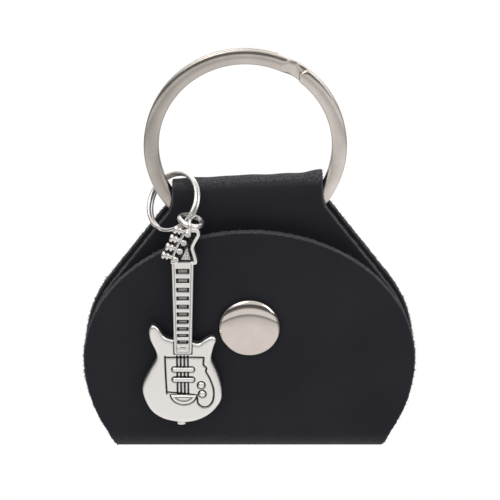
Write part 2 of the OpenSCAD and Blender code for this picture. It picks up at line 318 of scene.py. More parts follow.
def lathe(profile, place, steps):
    """Closed turned solid from a closed [radius, height] profile; place(x, y, h) gives 3-D points."""
    angles = np.arange(steps) * 2 * math.pi / steps
    points, rows = [], []
    for r, h in profile:
        if r < 1e-6:
            rows.append([len(points)] * steps)
            points.append(place(0.0, 0.0, h))
            continue
        rows.append(list(range(len(points), len(points) + steps)))
        points += [place(r * math.cos(a), r * math.sin(a), h) for a in angles]
    faces = []
    for a, b in zip(rows, rows[1:] + rows[:1]):
        for i in range(steps):
            j = (i + 1) % steps
            face = list(dict.fromkeys([a[j], a[i], b[i], b[j]]))
            if len(face) > 2:
                faces.append(tuple(face))
    return np.array(points), faces


def join(*parts):
    """One list of points and faces from several."""
    points, faces, count = [], [], 0
    for p, f in parts:
        points.append(np.asarray(p, float))
        faces += [tuple(i + count for i in face) for face in f]
        count += len(p)
    return np.vstack(points), faces


def put(name, data):
    """New object in the scene."""
    obj = bpy.data.objects.new(name, data)
    bpy.context.scene.collection.objects.link(obj)
    return obj


def piece(name, points, faces, material, body=None, slot=None, replaces=(), sharp=50, **attributes):
    """Mesh object in metres with consistent outward faces."""
    mesh = bpy.data.meshes.new(name)
    corners = [tuple(p) for p in np.asarray(points) * MM]
    mesh.from_pydata(corners, [], [tuple(int(i) for i in f) for f in faces])
    mesh.update()
    for key, values in attributes.items():
        layer = mesh.attributes.new(key, "FLOAT", "POINT")
        layer.data.foreach_set("value", np.asarray(values, np.float32))
    obj = put(name, mesh)
    fix_faces(mesh)
    mesh.shade_smooth()
    mesh.set_sharp_from_angle(angle=math.radians(sharp))
    mesh.materials.append(material)
    if body:
        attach(obj, body)
    if replaces:
        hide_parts(*replaces)
    return obj


def fix_faces(mesh):
    """Turns every face outward."""
    bm = bmesh.new()
    bm.from_mesh(mesh)
    bmesh.ops.recalc_face_normals(bm, faces=bm.faces)
    bm.to_mesh(mesh)
    bm.free()


def wave(points, length, seed):
    """Smooth repeatable ripple between -1 and 1 over a plane."""
    rng = np.random.default_rng(seed)
    out = np.zeros(len(points))
    for _ in range(5):
        angle, phase = rng.uniform(0, 2 * math.pi, 2)
        k = 2 * math.pi / (length * rng.uniform(0.7, 1.6))
        out += np.sin(k * (points[:, 0] * math.cos(angle) + points[:, 1] * math.sin(angle)) + phase)
    return out / 3


def smooth(t):
    """Soft step from 0 to 1."""
    t = np.clip(t, 0, 1)
    return t * t * (3 - 2 * t)


# ---- Materials ----

def fill_ramp(node, stops):
    """Sets a colour ramp's (position, colour) stops; a number stands for a grey."""
    bar = node.color_ramp.elements
    while len(bar) < len(stops):
        bar.new(0.5)
    for element, (at, colour) in zip(bar, stops):
        element.position = at
        element.color = (colour, colour, colour, 1) if isinstance(colour, (int, float)) else (*colour, 1)


class Shader:
    """A node material with a Principled surface and short helpers."""

    def __init__(self, name):
        self.material = bpy.data.materials.new(name)
        self.material.use_nodes = True
        self.nodes = self.material.node_tree.nodes
        self.links = self.material.node_tree.links
        self.surface = self.nodes["Principled BSDF"]
        self.place = self.add("ShaderNodeTexCoord").outputs["Object"]

    def add(self, kind, settings=None, **inputs):
        """New node; inputs are values or other nodes' outputs."""
        node = self.nodes.new(kind)
        for key, value in (settings or {}).items():
            setattr(node, key, value)
        for key, value in inputs.items():
            self.feed(node.inputs[key.replace("_", " ")], value)
        return node

    def feed(self, socket, value):
        """Links an output to a socket, or sets the socket's value."""
        if isinstance(value, bpy.types.NodeSocket):
            self.links.new(value, socket)
        else:
            socket.default_value = value

    def noise(self, size, detail=4, rough=0.55, stretch=None, vector=None):
        """Noise whose features are about size millimetres."""
        at = vector or self.place
        if stretch:
            at = self.add("ShaderNodeMapping", Vector=at, Scale=stretch).outputs[0]
        scale = 1 / (size * MM)
        node = self.add("ShaderNodeTexNoise", Vector=at, Scale=scale, Detail=detail, Roughness=rough)
        return node.outputs["Fac"]

    def cells(self, size):
        """Rounded cells of about size millimetres, like leather grain."""
        kind = {"feature": "SMOOTH_F1"}
        node = self.add("ShaderNodeTexVoronoi", kind, Vector=self.place, Scale=1 / (size * MM))
        return node.outputs["Distance"]

    def ramp(self, value, *stops):
        """Colour ramp from (position, colour) stops; a number stands for a grey."""
        node = self.add("ShaderNodeValToRGB", Fac=value)
        fill_ramp(node, stops)
        return node.outputs["Color"]

    def mix(self, amount, a, b, kind="MIX"):
        """Blend of two colours."""
        node = self.add("ShaderNodeMix", {"data_type": "RGBA", "blend_type": kind})
        self.feed(node.inputs[0], amount)
        for socket, value in ((node.inputs[6], a), (node.inputs[7], b)):
            self.feed(socket, value if isinstance(value, bpy.types.NodeSocket) else (*value, 1))
        return node.outputs[2]

    def maths(self, operation, a, b=0.0):
        node = self.add("ShaderNodeMath", {"operation": operation})
        self.feed(node.inputs[0], a)
        self.feed(node.inputs[1], b)
        return node.outputs[0]

    def mark(self, name):
        """A number stored on the mesh's points."""
        return self.add("ShaderNodeAttribute", {"attribute_name": name}).outputs["Fac"]

    def bump(self, height, distance, strength=1.0, under=None):
        node = self.add("ShaderNodeBump", Height=height, Distance=distance * MM, Strength=strength)
        if under:
            self.links.new(under, node.inputs["Normal"])
        return node.outputs[0]

    def finish(self, **inputs):
        """Sets the surface's inputs and gives the material."""
        for key, value in inputs.items():
            if isinstance(value, tuple) and len(value) == 3:
                value = (*value, 1)
            self.feed(self.surface.inputs[key.replace("_", " ")], value)
        return self.material


LEATHER_SPECULAR = 0.12


def leather_material():
    """Dyed grain, pale fibres on cut edges, suede behind and fine cracks where it is folded."""
    s = Shader("black_leather")
    edge, flesh, bend = s.mark("edge"), s.mark("flesh"), s.mark("bend")
    cloud = s.noise(14, 3)
    grain = s.cells(0.42)
    pores = s.noise(0.16, 3, 0.7)
    fibre = s.noise(0.22, 5, 0.8)
    creases = s.noise(0.3, 5, 0.8, stretch=(0.6, 1.0, 1.0))
    dye = s.ramp(cloud, (0.25, (0.0128, 0.0129, 0.0168)), (0.75, (0.0172, 0.0174, 0.0225)))
    cracked = s.maths("MULTIPLY", bend, s.ramp(creases, (0.40, 0.0), (0.62, 1.0)))
    worn = s.mix(cracked, dye, (0.085, 0.086, 0.093))
    raw = s.ramp(
        fibre, (0.35, (0.022, 0.022, 0.026)), (0.55, (0.075, 0.076, 0.083)), (0.72, (0.27, 0.272, 0.285)),
    )
    suede = s.ramp(fibre, (0.3, (0.012, 0.012, 0.013)), (0.7, (0.024, 0.024, 0.026)))
    colour = s.mix(edge, s.mix(flesh, worn, suede), raw)
    raised = s.bump(grain, 0.05, 0.5)
    raised = s.bump(pores, 0.03, 0.45, raised)
    raised = s.bump(creases, 0.12, s.maths("MULTIPLY", bend, 0.8), raised)
    raised = s.bump(fibre, 0.16, s.maths("MAXIMUM", edge, s.maths("MULTIPLY", flesh, 0.7)), raised)
    coarse = s.maths("MULTIPLY", s.maths("MAXIMUM", edge, flesh), 0.3)
    rough = s.maths("ADD", coarse, s.ramp(pores, (0.3, 0.58), (0.7, 0.7)))
    return s.finish(
        Base_Color=colour, Roughness=rough, Normal=raised, Specular_IOR_Level=LEATHER_SPECULAR,
    )


def metal_material(name, colour, rough, tone=0.04, scratch=0.2, size=0.5, stain_and_shadow=None):
    """Worked metal: cloudy tone, fine scratches and uneven polish."""
    s = Shader(name)
    cloud = s.noise(size * 8, 3)
    fine = s.noise(size * 0.2, 3, 0.7, stretch=(1.0, 1.0, 0.25))
    light = tuple(min(1, c * (1 + tone)) for c in colour)
    dark = tuple(c * (1 - tone) for c in colour)
    tint = s.ramp(cloud, (0.3, dark), (0.7, light))
    polish = s.ramp(cloud, (0.3, rough * 0.8), (0.75, rough * 1.3))
    raised = s.bump(fine, 0.012, scratch)
    # Dark patina in the hollows; on the charm the same dark colour also paints a shadow line round the end of
    # the neck
    if stain_and_shadow:
        patina = s.ramp(s.mark("patina"), (0.12, 0.0), (0.55, 0.55), (0.9, 1.0))
        grime_and_shadow = s.maths("MULTIPLY", patina, s.ramp(s.noise(0.5, 4), (0.25, 0.85), (0.6, 1.0)))
        tint = s.mix(grime_and_shadow, tint, stain_and_shadow)
        polish = s.mix(grime_and_shadow, polish, (0.75, 0.75, 0.75))
        raised = s.bump(s.noise(0.35, 4), 0.03, 0.35, raised)
    return s.finish(Base_Color=tint, Metallic=1.0, Roughness=polish, Normal=raised)


def ring_material():
    """Satin nickel with fine grooves that follow the ring, and painted shade that darkens its left side and
    lightens its right.
    """
    s = Shader("ring_nickel")
    centre = tuple(KEY_CENTRE * MM)
    local = s.add("ShaderNodeVectorMath", {"operation": "SUBTRACT"})
    s.feed(local.inputs[0], s.place)
    local.inputs[1].default_value = centre
    flat = s.add("ShaderNodeVectorMath", {"operation": "MULTIPLY"})
    s.feed(flat.inputs[0], local.outputs[0])
    flat.inputs[1].default_value = (1, 0, 1)
    length = s.add("ShaderNodeVectorMath", {"operation": "LENGTH"})
    s.feed(length.inputs[0], flat.outputs[0])
    radius = s.add("ShaderNodeCombineXYZ", X=length.outputs["Value"])
    grooves = s.noise(0.09, 2, 0.6, vector=radius.outputs[0])
    cloud = s.noise(5, 3)
    specks = s.noise(0.25, 3, 0.7)
    tint = s.ramp(cloud, (0.3, (0.60, 0.54, 0.49)), (0.7, (0.68, 0.63, 0.58)))
    across = s.add("ShaderNodeSeparateXYZ", Vector=local.outputs[0]).outputs
    # Runs from about 0 at the ring's left side to about 1 at its right side
    side = s.maths("MULTIPLY_ADD", across["X"], 22.0)
    side.node.inputs[2].default_value = 0.5
    # Painted shade: the colour is darker on the ring's left side and lighter on its right, as the light falls
    shade = s.ramp(side, (0.0, 0.74), (0.55, 0.88), (1.0, 1.1))
    tint = s.mix(1.0, tint, shade, "MULTIPLY")
    raised = s.bump(grooves, 0.02, 0.35)
    raised = s.bump(specks, 0.02, 0.25, raised)
    polish = s.ramp(specks, (0.3, 0.14), (0.7, 0.21))
    return s.finish(Base_Color=tint, Metallic=1.0, Roughness=polish, Normal=raised)


LEATHER = leather_material()
CAP_METAL = metal_material("cap_nickel", (0.66, 0.59, 0.545), 0.06, scratch=0.10, size=0.4)
RING_METAL = ring_material()
WIRE_METAL = metal_material("wire_nickel", (0.80, 0.77, 0.75), 0.27, scratch=0.2, size=0.3)
SILVER = metal_material(
    "antique_silver", (0.86, 0.83, 0.80), 0.30, scratch=0.3, size=0.4, stain_and_shadow=(0.012, 0.011, 0.011),
)
SNAP_METAL = metal_material("snap_nickel", (0.62, 0.59, 0.55), 0.28, scratch=0.35)
BRASS = metal_material("snap_brass", (0.60, 0.47, 0.27), 0.30, scratch=0.35)
SPRING = metal_material("spring_steel", (0.52, 0.51, 0.50), 0.25, scratch=0.4)


# ---- Leather ----
# Section of a cut edge as [inset, share of the thickness]
EDGE_RIM = [
    (0.32, 0.0), (0.12, 0.035), (0.02, 0.16), (0.0, 0.38),
    (0.02, 0.62), (0.0, 0.84), (0.12, 0.965), (0.32, 1.0),
]
HALF_T = LEATHER_T / 2
SPACING = 0.8
POST_HOLE_R = 1.8
EYELET_HOLE_R = 1.3
EAR_H = 0.5
SEAM_FADE = 1.4
EDGE_WAVE = 0.035
EDGE_JITTER = 0.07


def fuzz(points, share, loop_start, centre_of, fuzzy):
    """Short loose fibres that stand out of a cut edge, as thin pyramids."""
    parts = []
    rim = np.flatnonzero((share > 0.03) & (share < 0.97) & (np.arange(len(share)) >= loop_start))
    for i in rim:
        p = points[i]
        if RNG.random() > fuzzy(p):
            continue
        out = centre_of(p)
        side = RNG.normal(size=3)
        axis = out + 0.55 * side
        axis /= np.linalg.norm(axis)
        a = np.cross(axis, [0.3, 0.5, 0.8])
        a /= np.linalg.norm(a)
        b = np.cross(axis, a)
        length = RNG.uniform(0.2, 0.55)
        width = RNG.uniform(0.05, 0.13)
        base = [p - 0.08 * out + width * (math.cos(q) * a + math.sin(q) * b) for q in (0, 2.1, 4.2)]
        parts.append((np.array(base + [p + axis * length]), [(0, 1, 2), (0, 3, 1), (1, 3, 2), (2, 3, 0)]))
    return parts


def leather_piece(name, outline, seam, place, dish, bend, holes=()):
    """A closed leather sheet: outline is [x, length], seam says which outline points meet another
    piece, place maps to 3-D, dish is the sheet's ripple and bend marks folded leather. The cut edge
    is uneven and frayed, but stays clean near a seam."""
    loop = np.array(outline)
    on_line = np.array([seam(p) for p in loop])
    gaps = np.linalg.norm(loop[:, None] - loop[on_line][None], axis=2).min(1)
    fade = smooth(gaps / SEAM_FADE)
    rough = (wave(loop, 1.1, 3) + wave(loop, 0.6, 4)) * EDGE_WAVE * fade
    loop = loop + outward(loop) * rough[:, None]
    loops = [loop, *holes]
    points, faces, share = plate(
        loops, SPACING, EDGE_RIM, lambda p, h: place(p, h + dish(p)),
        lambda p: np.full(len(p), HALF_T), lambda p: np.full(len(p), -HALF_T), fade,
    )
    flat_count = int(np.sum(share == 0.0))
    row_start = 2 * flat_count
    jitter = np.zeros(len(points))
    jitter[row_start:] = RNG.uniform(-EDGE_JITTER, EDGE_JITTER, len(points) - row_start)
    on_seam = np.zeros(len(points), bool)
    size = len(loop)
    for k in range(len(EDGE_RIM) - 2):
        at = row_start + k * size
        on_seam[at:at + size] = fade < 0.5
    jitter[on_seam] = 0
    middle = np.array([0.0, FOLD_Y, 0.0])
    out = points - middle
    out[:, 1] = 0
    out /= np.maximum(np.linalg.norm(out, axis=1), 1e-6)[:, None]
    points = points + out * jitter[:, None]
    edge = np.where((share > 0.02) & (share < 0.98), 1.0, 0.0)
    edge[on_seam] = 0
    flesh = np.where(share >= 0.98, 1.0, 0.0)

    def fuzzy(p):
        return 0.24 + 0.5 * math.exp(-((p[2] + 4) / 13) ** 2)

    def direction(p):
        d = np.array([p[0], 0.0, p[2]])
        return d / max(np.linalg.norm(d), 1e-6)

    live = share.copy()
    live[on_seam] = 0
    live[row_start + (len(EDGE_RIM) - 2) * size:] = 0
    hairs = fuzz(points, live, row_start, direction, fuzzy)
    all_points, all_faces = join((points, faces), *hairs)
    extra = len(all_points) - len(points)
    return piece(
        name, all_points, all_faces, LEATHER, slot="black_leather",
        edge=np.concatenate([edge, np.ones(extra)]),
        flesh=np.concatenate([flesh, np.zeros(extra)]),
        bend=np.concatenate([bend(points), np.zeros(extra)]),
    )


def bottom_place(side):
    """Maps [x, length] to a panel that goes on round the bottom fold; side is 1 behind, -1 in front."""
    mid_r = FOLD_R - HALF_T

    def place(p, h):
        q = np.clip((FOLD_Z - p[:, 1]) / mid_r, 0, math.pi / 2)
        r = mid_r + h
        y = FOLD_Y + side * r * np.cos(q)
        z = np.maximum(p[:, 1], FOLD_Z) - r * np.sin(q)
        return np.column_stack([p[:, 0], y, z])

    return place


# Length along the leather at the bottom fold's lowest line, where front and back meet
SEAM_S = FOLD_Z - (FOLD_R - HALF_T) * math.pi / 2


def circle(r, steps=40):
    """Closed ring of points about the snap's axis."""
    a = np.arange(steps) * 2 * math.pi / steps
    return np.column_stack([r * np.cos(a), r * np.sin(a)])


def front_leather():
    """Front flap, down to the middle of the bottom fold."""
    a = (FLAP_HIGH[0] - FLAP_LOW[0]) / 2
    right = bottom_side() + low_side(a)
    outline = right + arc(a, FLAP_HIGH[2] - WIDEST_Z, WIDEST_Z, 0, 180) + mirrored(right)
    outline += run(outline[-1], outline[0])[1:]

    def dish(p):
        calm = smooth((np.hypot(*p.T) - 7) / 8)
        return (0.10 * wave(p, 34, 11) - 0.05) * calm * smooth((p[:, 1] - FOLD_Z + 2) / 8)

    obj = leather_piece(
        "front_leather", outline, lambda p: abs(p[1] - SEAM_S) < 1e-6, bottom_place(-1), dish,
        lambda p: 0.35 * smooth((FOLD_Z - p[:, 2]) / 3), [circle(POST_HOLE_R)[::-1]],
    )
    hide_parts("front_flap", "bottom_fold")
    across_hinge(obj, "flap_fold_front", (0, 1, -1))


def across_hinge(obj, name, way):
    """Bakes a piece's place into its mesh. It looks up the joint and the direction, but doesn't bend the
    piece.
    """
    at = Vector(joint(name)["pos_m"])
    way = Vector(way).normalized()
    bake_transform(obj)


def top_line(x):
    """Height where the leaning top fold starts."""
    return TOP_Z + (x - NECK_X) * math.tan(TILT)


def back_leather():
    """Back panel, from the middle of the bottom fold up to the top fold."""
    a = (BACK_HIGH[0] - BACK_LOW[0]) / 2
    low = bottom_side() + low_side(a)
    right_x, left_x = NECK_X + NECK_HALF_W, NECK_X - NECK_HALF_W
    right = shoulder_side(a, right_x)
    left = shoulder_side(a, -left_x)
    outline = low + right + run(right[-1], (right_x, top_line(right_x)))[1:]
    outline += run((right_x, top_line(right_x)), (left_x, top_line(left_x)))
    outline += [np.array([left_x, top_line(left_x)])]
    outline += mirrored(left + run(left[-1], (-left_x, top_line(left_x)))[1:]) + mirrored(low)
    outline += run(outline[-1], outline[0])[1:]

    def seam(p):
        return abs(p[1] - SEAM_S) < 1e-6 or abs(p[1] - top_line(p[0])) < 1e-6

    def dish(p):
        edge = smooth((p[:, 1] - FOLD_Z + 2) / 8) * smooth((top_line(p[:, 0]) - p[:, 1]) / 6)
        return 0.10 * wave(p, 38, 21) * edge

    obj = leather_piece(
        "back_leather", outline, seam, bottom_place(1), dish,
        lambda p: 0.35 * smooth((FOLD_Z - p[:, 2]) / 3) + 0.2 * smooth((p[:, 2] - TOP_Z + 1.5) / 3),
    )
    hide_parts("back_panel")
    across_hinge(obj, "flap_fold_rear", (0, 1, 1))


def inner_leather():
    """Inner flap and the whole top fold, as one sheet that leans with the fold."""
    a = (INNER_HIGH[0] - INNER_LOW[0]) / 2
    mid_r = TOP_R - HALF_T
    seam_s = math.pi * mid_r
    cos_t, sin_t = math.cos(TILT), math.sin(TILT)
    right_x, left_x = NECK_X + NECK_HALF_W, NECK_X - NECK_HALF_W

    def tilted(p):
        dx, dz = p[0] - NECK_X, p[1] - TOP_Z
        return np.array([dx * cos_t + dz * sin_t, -dx * sin_t + dz * cos_t])

    def over_fold(x):
        out = []
        for i in range(1, 17):
            q = math.pi * i / 16
            out.append(np.array([((x - NECK_X) + mid_r * math.sin(q) * sin_t) / cos_t, mid_r * q]))
        return out

    low = arc(a, WIDEST_Z - INNER_LOW[2], WIDEST_Z, -90, 0)
    right = low + shoulder_side(a, right_x)
    right += run(right[-1], (right_x, top_line(right_x)))[1:]
    left = low[1:] + shoulder_side(a, -left_x)
    left += run(left[-1], (-left_x, top_line(left_x)))[1:]
    outline = [tilted(p) for p in right] + over_fold(right_x)
    left_over = over_fold(left_x)
    outline += run(outline[-1], left_over[-1])[1:]
    outline += left_over[::-1] + [tilted(p) for p in mirrored(left)]

    def place(p, h):
        q = np.clip(p[:, 1] / mid_r, 0, math.pi)
        # The fold stands up a little at its right end
        ear = EAR_H * smooth((p[:, 0] - 10.5) / 4.4) * np.sin(q)
        r = mid_r + h + ear
        z = np.minimum(p[:, 1], 0) + r * np.sin(q)
        y = -TOP_R - r * np.cos(q)
        return np.column_stack([
            NECK_X + p[:, 0] * cos_t - z * sin_t, y, TOP_Z + p[:, 0] * sin_t + z * cos_t,
        ])

    def dish(p):
        calm = smooth((np.hypot(p[:, 0], p[:, 1] + TOP_Z) - 6) / 8)
        fold = smooth(p[:, 1] / 1.5) * smooth((seam_s - p[:, 1]) / 2)
        return 0.12 * wave(p, 30, 31) * calm * smooth((-p[:, 1]) / 6) + 0.10 * wave(p, 5, 32) * fold

    holes = [np.array([tilted(p) for p in circle(EYELET_HOLE_R)])[::-1]]
    obj = leather_piece(
        "inner_leather", outline, lambda p: abs(p[1] - seam_s) < 1e-6, place, dish,
        lambda p: smooth((p[:, 2] - TOP_Z - (p[:, 0] - NECK_X) * math.tan(TILT) - 1.7) / 0.9), holes,
    )
    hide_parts("inner_flap", "top_fold")
    across_hinge(obj, "inner_flap_lift", (-0.6 * sin_t, 0.6, 0.8))


# ---- Snap ----

def snap_cap():
    """Pressed cap: a low dome with a wide crown and an edge that rolls under."""
    r, h, sheet = CAP_HIGH[0], CAP_HIGH[1] - CAP_LOW[1], 0.35
    roll = 0.42
    outer = []
    for i in range(33):
        q = math.pi / 2 * i / 32
        outer.append((r * math.sin(q) ** 0.86, roll + (h - roll) * math.cos(q) ** 0.72))
    rolled = []
    for i in range(1, 9):
        q = math.pi / 2 * i / 8
        rolled.append((r - 0.35 + 0.35 * math.cos(q), roll - roll * math.sin(q)))
    inner = [(max(0.0, x - sheet), max(0.12, y - sheet)) for x, y in outer[::-1]]
    # The inner face starts inside the rolled edge
    profile = outer + rolled + [(r - 0.75, 0.02), (r - 0.8, 0.14)] + inner[6:]
    profile[0] = (0.0, profile[0][1])
    profile[-1] = (0.0, profile[-1][1])
    points, faces = lathe(profile, lambda x, y, z: (x, CAP_HIGH[1] - z, y), 128)
    piece("snap_cap_dome", points, faces, CAP_METAL, "front_flap", "polished_nickel", ["snap_cap"], 40)


def snap_parts():
    """Worked metal for the snap's inner parts, whose CAD shapes are kept."""
    for node, metal in (
        ("snap_cap_post", BRASS), ("snap_socket", SNAP_METAL), ("socket_spring", SPRING),
        ("snap_stud", SNAP_METAL), ("stud_eyelet", BRASS),
    ):
        mesh = frame["nodes"][node].data
        mesh.materials.clear()
        mesh.materials.append(metal)


# ---- Rings ----
KEY_BAND_W = 2.95
KEY_TURN_GAP = 0.05
KEY_SPLIT, KEY_SLIT, KEY_CROSSING = 55, 3, 8
SMALL_RING_R, SMALL_WIRE_D = 5.95, 0.8
SMALL_RING_TURN = (36.8, -46.6)
SMALL_SPLIT, SMALL_SLIT, SMALL_CROSSING = 200, 14, 22
JUMP_RING_R, JUMP_WIRE_D = 2.2, 1.1
JUMP_RING_TURN = (5.7, 16.6)
JUMP_START, JUMP_END = 123, 475


def turned_axes(x_deg, y_deg):
    """Axes of a frame turned about X and then about Y."""
    m = np.array(Matrix.Rotation(math.radians(y_deg), 3, "Y") @ Matrix.Rotation(math.radians(x_deg), 3, "X"))
    return m[:, 0], m[:, 1], m[:, 2]


def coil(centre, axes, r, section, height, start, end, step, pinch=None):
    """Wire or strip that winds round a centre. section lists [radial, axial] offsets, height(angle)
    is the axial place and pinch(angle) the share of the width that is left."""
    u, v, n = axes
    sections = []
    count = int((end - start) / step) + 1
    for i in range(count + 1):
        t = start + (end - start) * i / count
        q = math.radians(t)
        way = math.cos(q) * u + math.sin(q) * v
        k = 1.0 if pinch is None else pinch(t)
        sections.append(np.array([centre + (r + a * k) * way + (height(t) + b) * n for a, b in section]))
    return sweep(sections)


def rounded_rectangle(w, t, corner, steps=4):
    """Section of a strip, w wide and t thick."""
    out = []
    for cx, cy, first in ((1, 1, 0), (-1, 1, 90), (-1, -1, 180), (1, -1, 270)):
        for i in range(steps + 1):
            q = math.radians(first + 90 * i / steps)
            x = cx * (w / 2 - corner) + corner * math.cos(q)
            out.append((x, cy * (t / 2 - corner) + corner * math.sin(q)))
    return out


def crowned_strip(w, t, corner, crown):
    """Rectangle with rounded corners whose two long faces bulge a little."""
    out = []
    for a, b in rounded_rectangle(w, t, corner):
        out.append((a, b - math.copysign(crown * abs(2 * a / w) ** 2.5, b)))
    full = []
    for (a, b), (c, d) in zip(out, out[1:] + out[:1]):
        full.append((a, b))
        if abs(c - a) > w / 2:
            for i in range(1, 12):
                x = a + (c - a) * i / 12
                full.append((x, math.copysign(t / 2 - crown * abs(2 * x / w) ** 2.5, b)))
    return full


def key_ring():
    """Flat strip wound twice; it passes from the rear turn to the front one beside the split."""
    outer_r = (KEY_HIGH[2] - KEY_LOW[2]) / 2
    turn_t = (KEY_HIGH[1] - KEY_LOW[1] - KEY_TURN_GAP) / 2
    r = outer_r - KEY_BAND_W / 2
    half = turn_t / 2 + 0.02
    start, end = KEY_SPLIT + 2 * KEY_SLIT + KEY_CROSSING, KEY_SPLIT + 720
    axes = (np.array([1.0, 0, 0]), np.array([0, 0, 1.0]), np.array([0, -1.0, 0]))
    cross_at = KEY_SPLIT + KEY_SLIT + 360

    def height(t):
        return -half + 2 * half * float(smooth((t - cross_at + 1) / (KEY_CROSSING + 2)))

    def pinch(t):
        near = min(t - start, end - t) * math.radians(1) * r
        return math.sqrt(max(0.02, 1 - (1 - min(1.0, near / 1.1)) ** 2))

    section = crowned_strip(KEY_BAND_W, turn_t - 0.02, 0.16, 0.28)
    points, faces = coil(KEY_CENTRE, axes, r, section, height, start, end, 1.2, pinch)
    piece("key_ring_strip", points, faces, RING_METAL, "key_ring", "ring_nickel", ["key_ring"], 60)


def round_section(d, steps=20):
    """Section of a round wire."""
    angles = [2 * math.pi * i / steps for i in range(steps)]
    return [(d / 2 * math.cos(a), d / 2 * math.sin(a)) for a in angles]


def split_ring():
    """Round wire wound twice."""
    half = SMALL_WIRE_D / 2 + 0.025
    start, end = SMALL_SPLIT + SMALL_SLIT + SMALL_CROSSING, SMALL_SPLIT + 720 - 4

    def height(t):
        return -half + 2 * half * float(smooth((t - SMALL_SPLIT - 360 + 4) / SMALL_CROSSING))

    wire_ring("split_ring_wire", "charm_split_ring", coil(
        SMALL_RING_CENTRE, turned_axes(*SMALL_RING_TURN), SMALL_RING_R, round_section(SMALL_WIRE_D), height,
        start, end, 4,
    ))


def jump_ring():
    """Thick open ring."""
    wire_ring("jump_ring_wire", "charm_jump_ring", coil(
        JUMP_RING_CENTRE, turned_axes(*JUMP_RING_TURN), JUMP_RING_R, round_section(JUMP_WIRE_D, 24),
        lambda t: 0.0, JUMP_START, JUMP_END, 6,
    ))


def wire_ring(name, node, shape):
    """Ring of round wire that takes the place of a CAD node."""
    piece(name, *shape, WIRE_METAL, node, "polished_nickel", [node], 60)


# ---- Guitar charm, drawn as [x, z] about the neck's centre line ----
# The eye stands right of the centre line
CHARM_X = CHARM_EYE[0] - 1.8
BODY_FRONT, BODY_BACK = CHARM_EYE[1] - 0.35, CHARM_EYE[1] + 1.45
NECK_FRONT, NECK_BACK = CHARM_EYE[1] - 0.6, CHARM_EYE[1] + 1.05
NECK_TOP, NECK_END = 15.2, -4.85
FRETS, FIRST_FRET, FRET_PITCH, FRET_SHRINK = 11, 13.44, 2.06, 0.955
POSTS = [(1.42 - 0.84 * i, 21.35 - 1.8 * i) for i in range(4)]
EYE_R, EYE_WIRE_D = 1.0, 0.65
BUTTON_X, BUTTON_Z = -0.6, -21.05
PEG_X, PEG_Z, PEG_LEAN = -1.55, 0.5, 16


def smooth_loop(points, n=8):
    """Closed smooth curve through a ring of points."""
    p = np.array(points, float)
    k = len(p)
    out = []
    for i in range(k):
        a, b, c, d = p[i - 1], p[i], p[(i + 1) % k], p[(i + 2) % k]
        for j in range(n):
            t = j / n
            square, cube = 2 * a - 5 * b + 4 * c - d, 3 * b - a - 3 * c + d
            out.append(0.5 * (2 * b + (c - a) * t + square * t * t + cube * t ** 3))
    return np.array(out)


BODY_LINE = smooth_loop([
    (-2, -1.9), (-3.75, -1.15), (-4.85, 0.6), (-5.83, 1.35), (-6.7, 0.5), (-6.55, -1.8), (-5.3, -5.5),
    (-6.75, -8.7), (-8.4, -12.9), (-7.1, -17.4), (-4.5, -19.8), (-0.6, -20.75), (2.6, -20.3),
    (5.5, -18.6), (7.5, -15.8), (7.75, -13), (6.9, -9.4), (5.75, -6.3), (6.1, -3.8), (6.65, -1.9),
    (5.8, -1.15), (4.4, -1.9), (3.2, -2.7), (1.8, -2.5),
])
HEAD_LINE = smooth_loop([
    (-2.0, 15.0), (0.3, 14.7), (2.6, 14.8), (3.2, 15.4), (3.05, 16.6), (2.7, 17.9), (2.65, 18.7), (3.2, 19.9),
    (3.8, 21.1), (3.7, 22.0), (3.0, 22.45), (1.9, 22.45), (1.0, 22.2), (0.2, 21.0), (-0.75, 19.2),
    (-1.6, 17.1),
])


def bar(p, a, b, r):
    """Distance outside a rounded bar between two points."""
    return distance_to(p, np.array([a, b], float), closed=False) - r


def hollow(d, width):
    """1 on a line and 0 away from it."""
    return np.exp(-(d / width) ** 2)


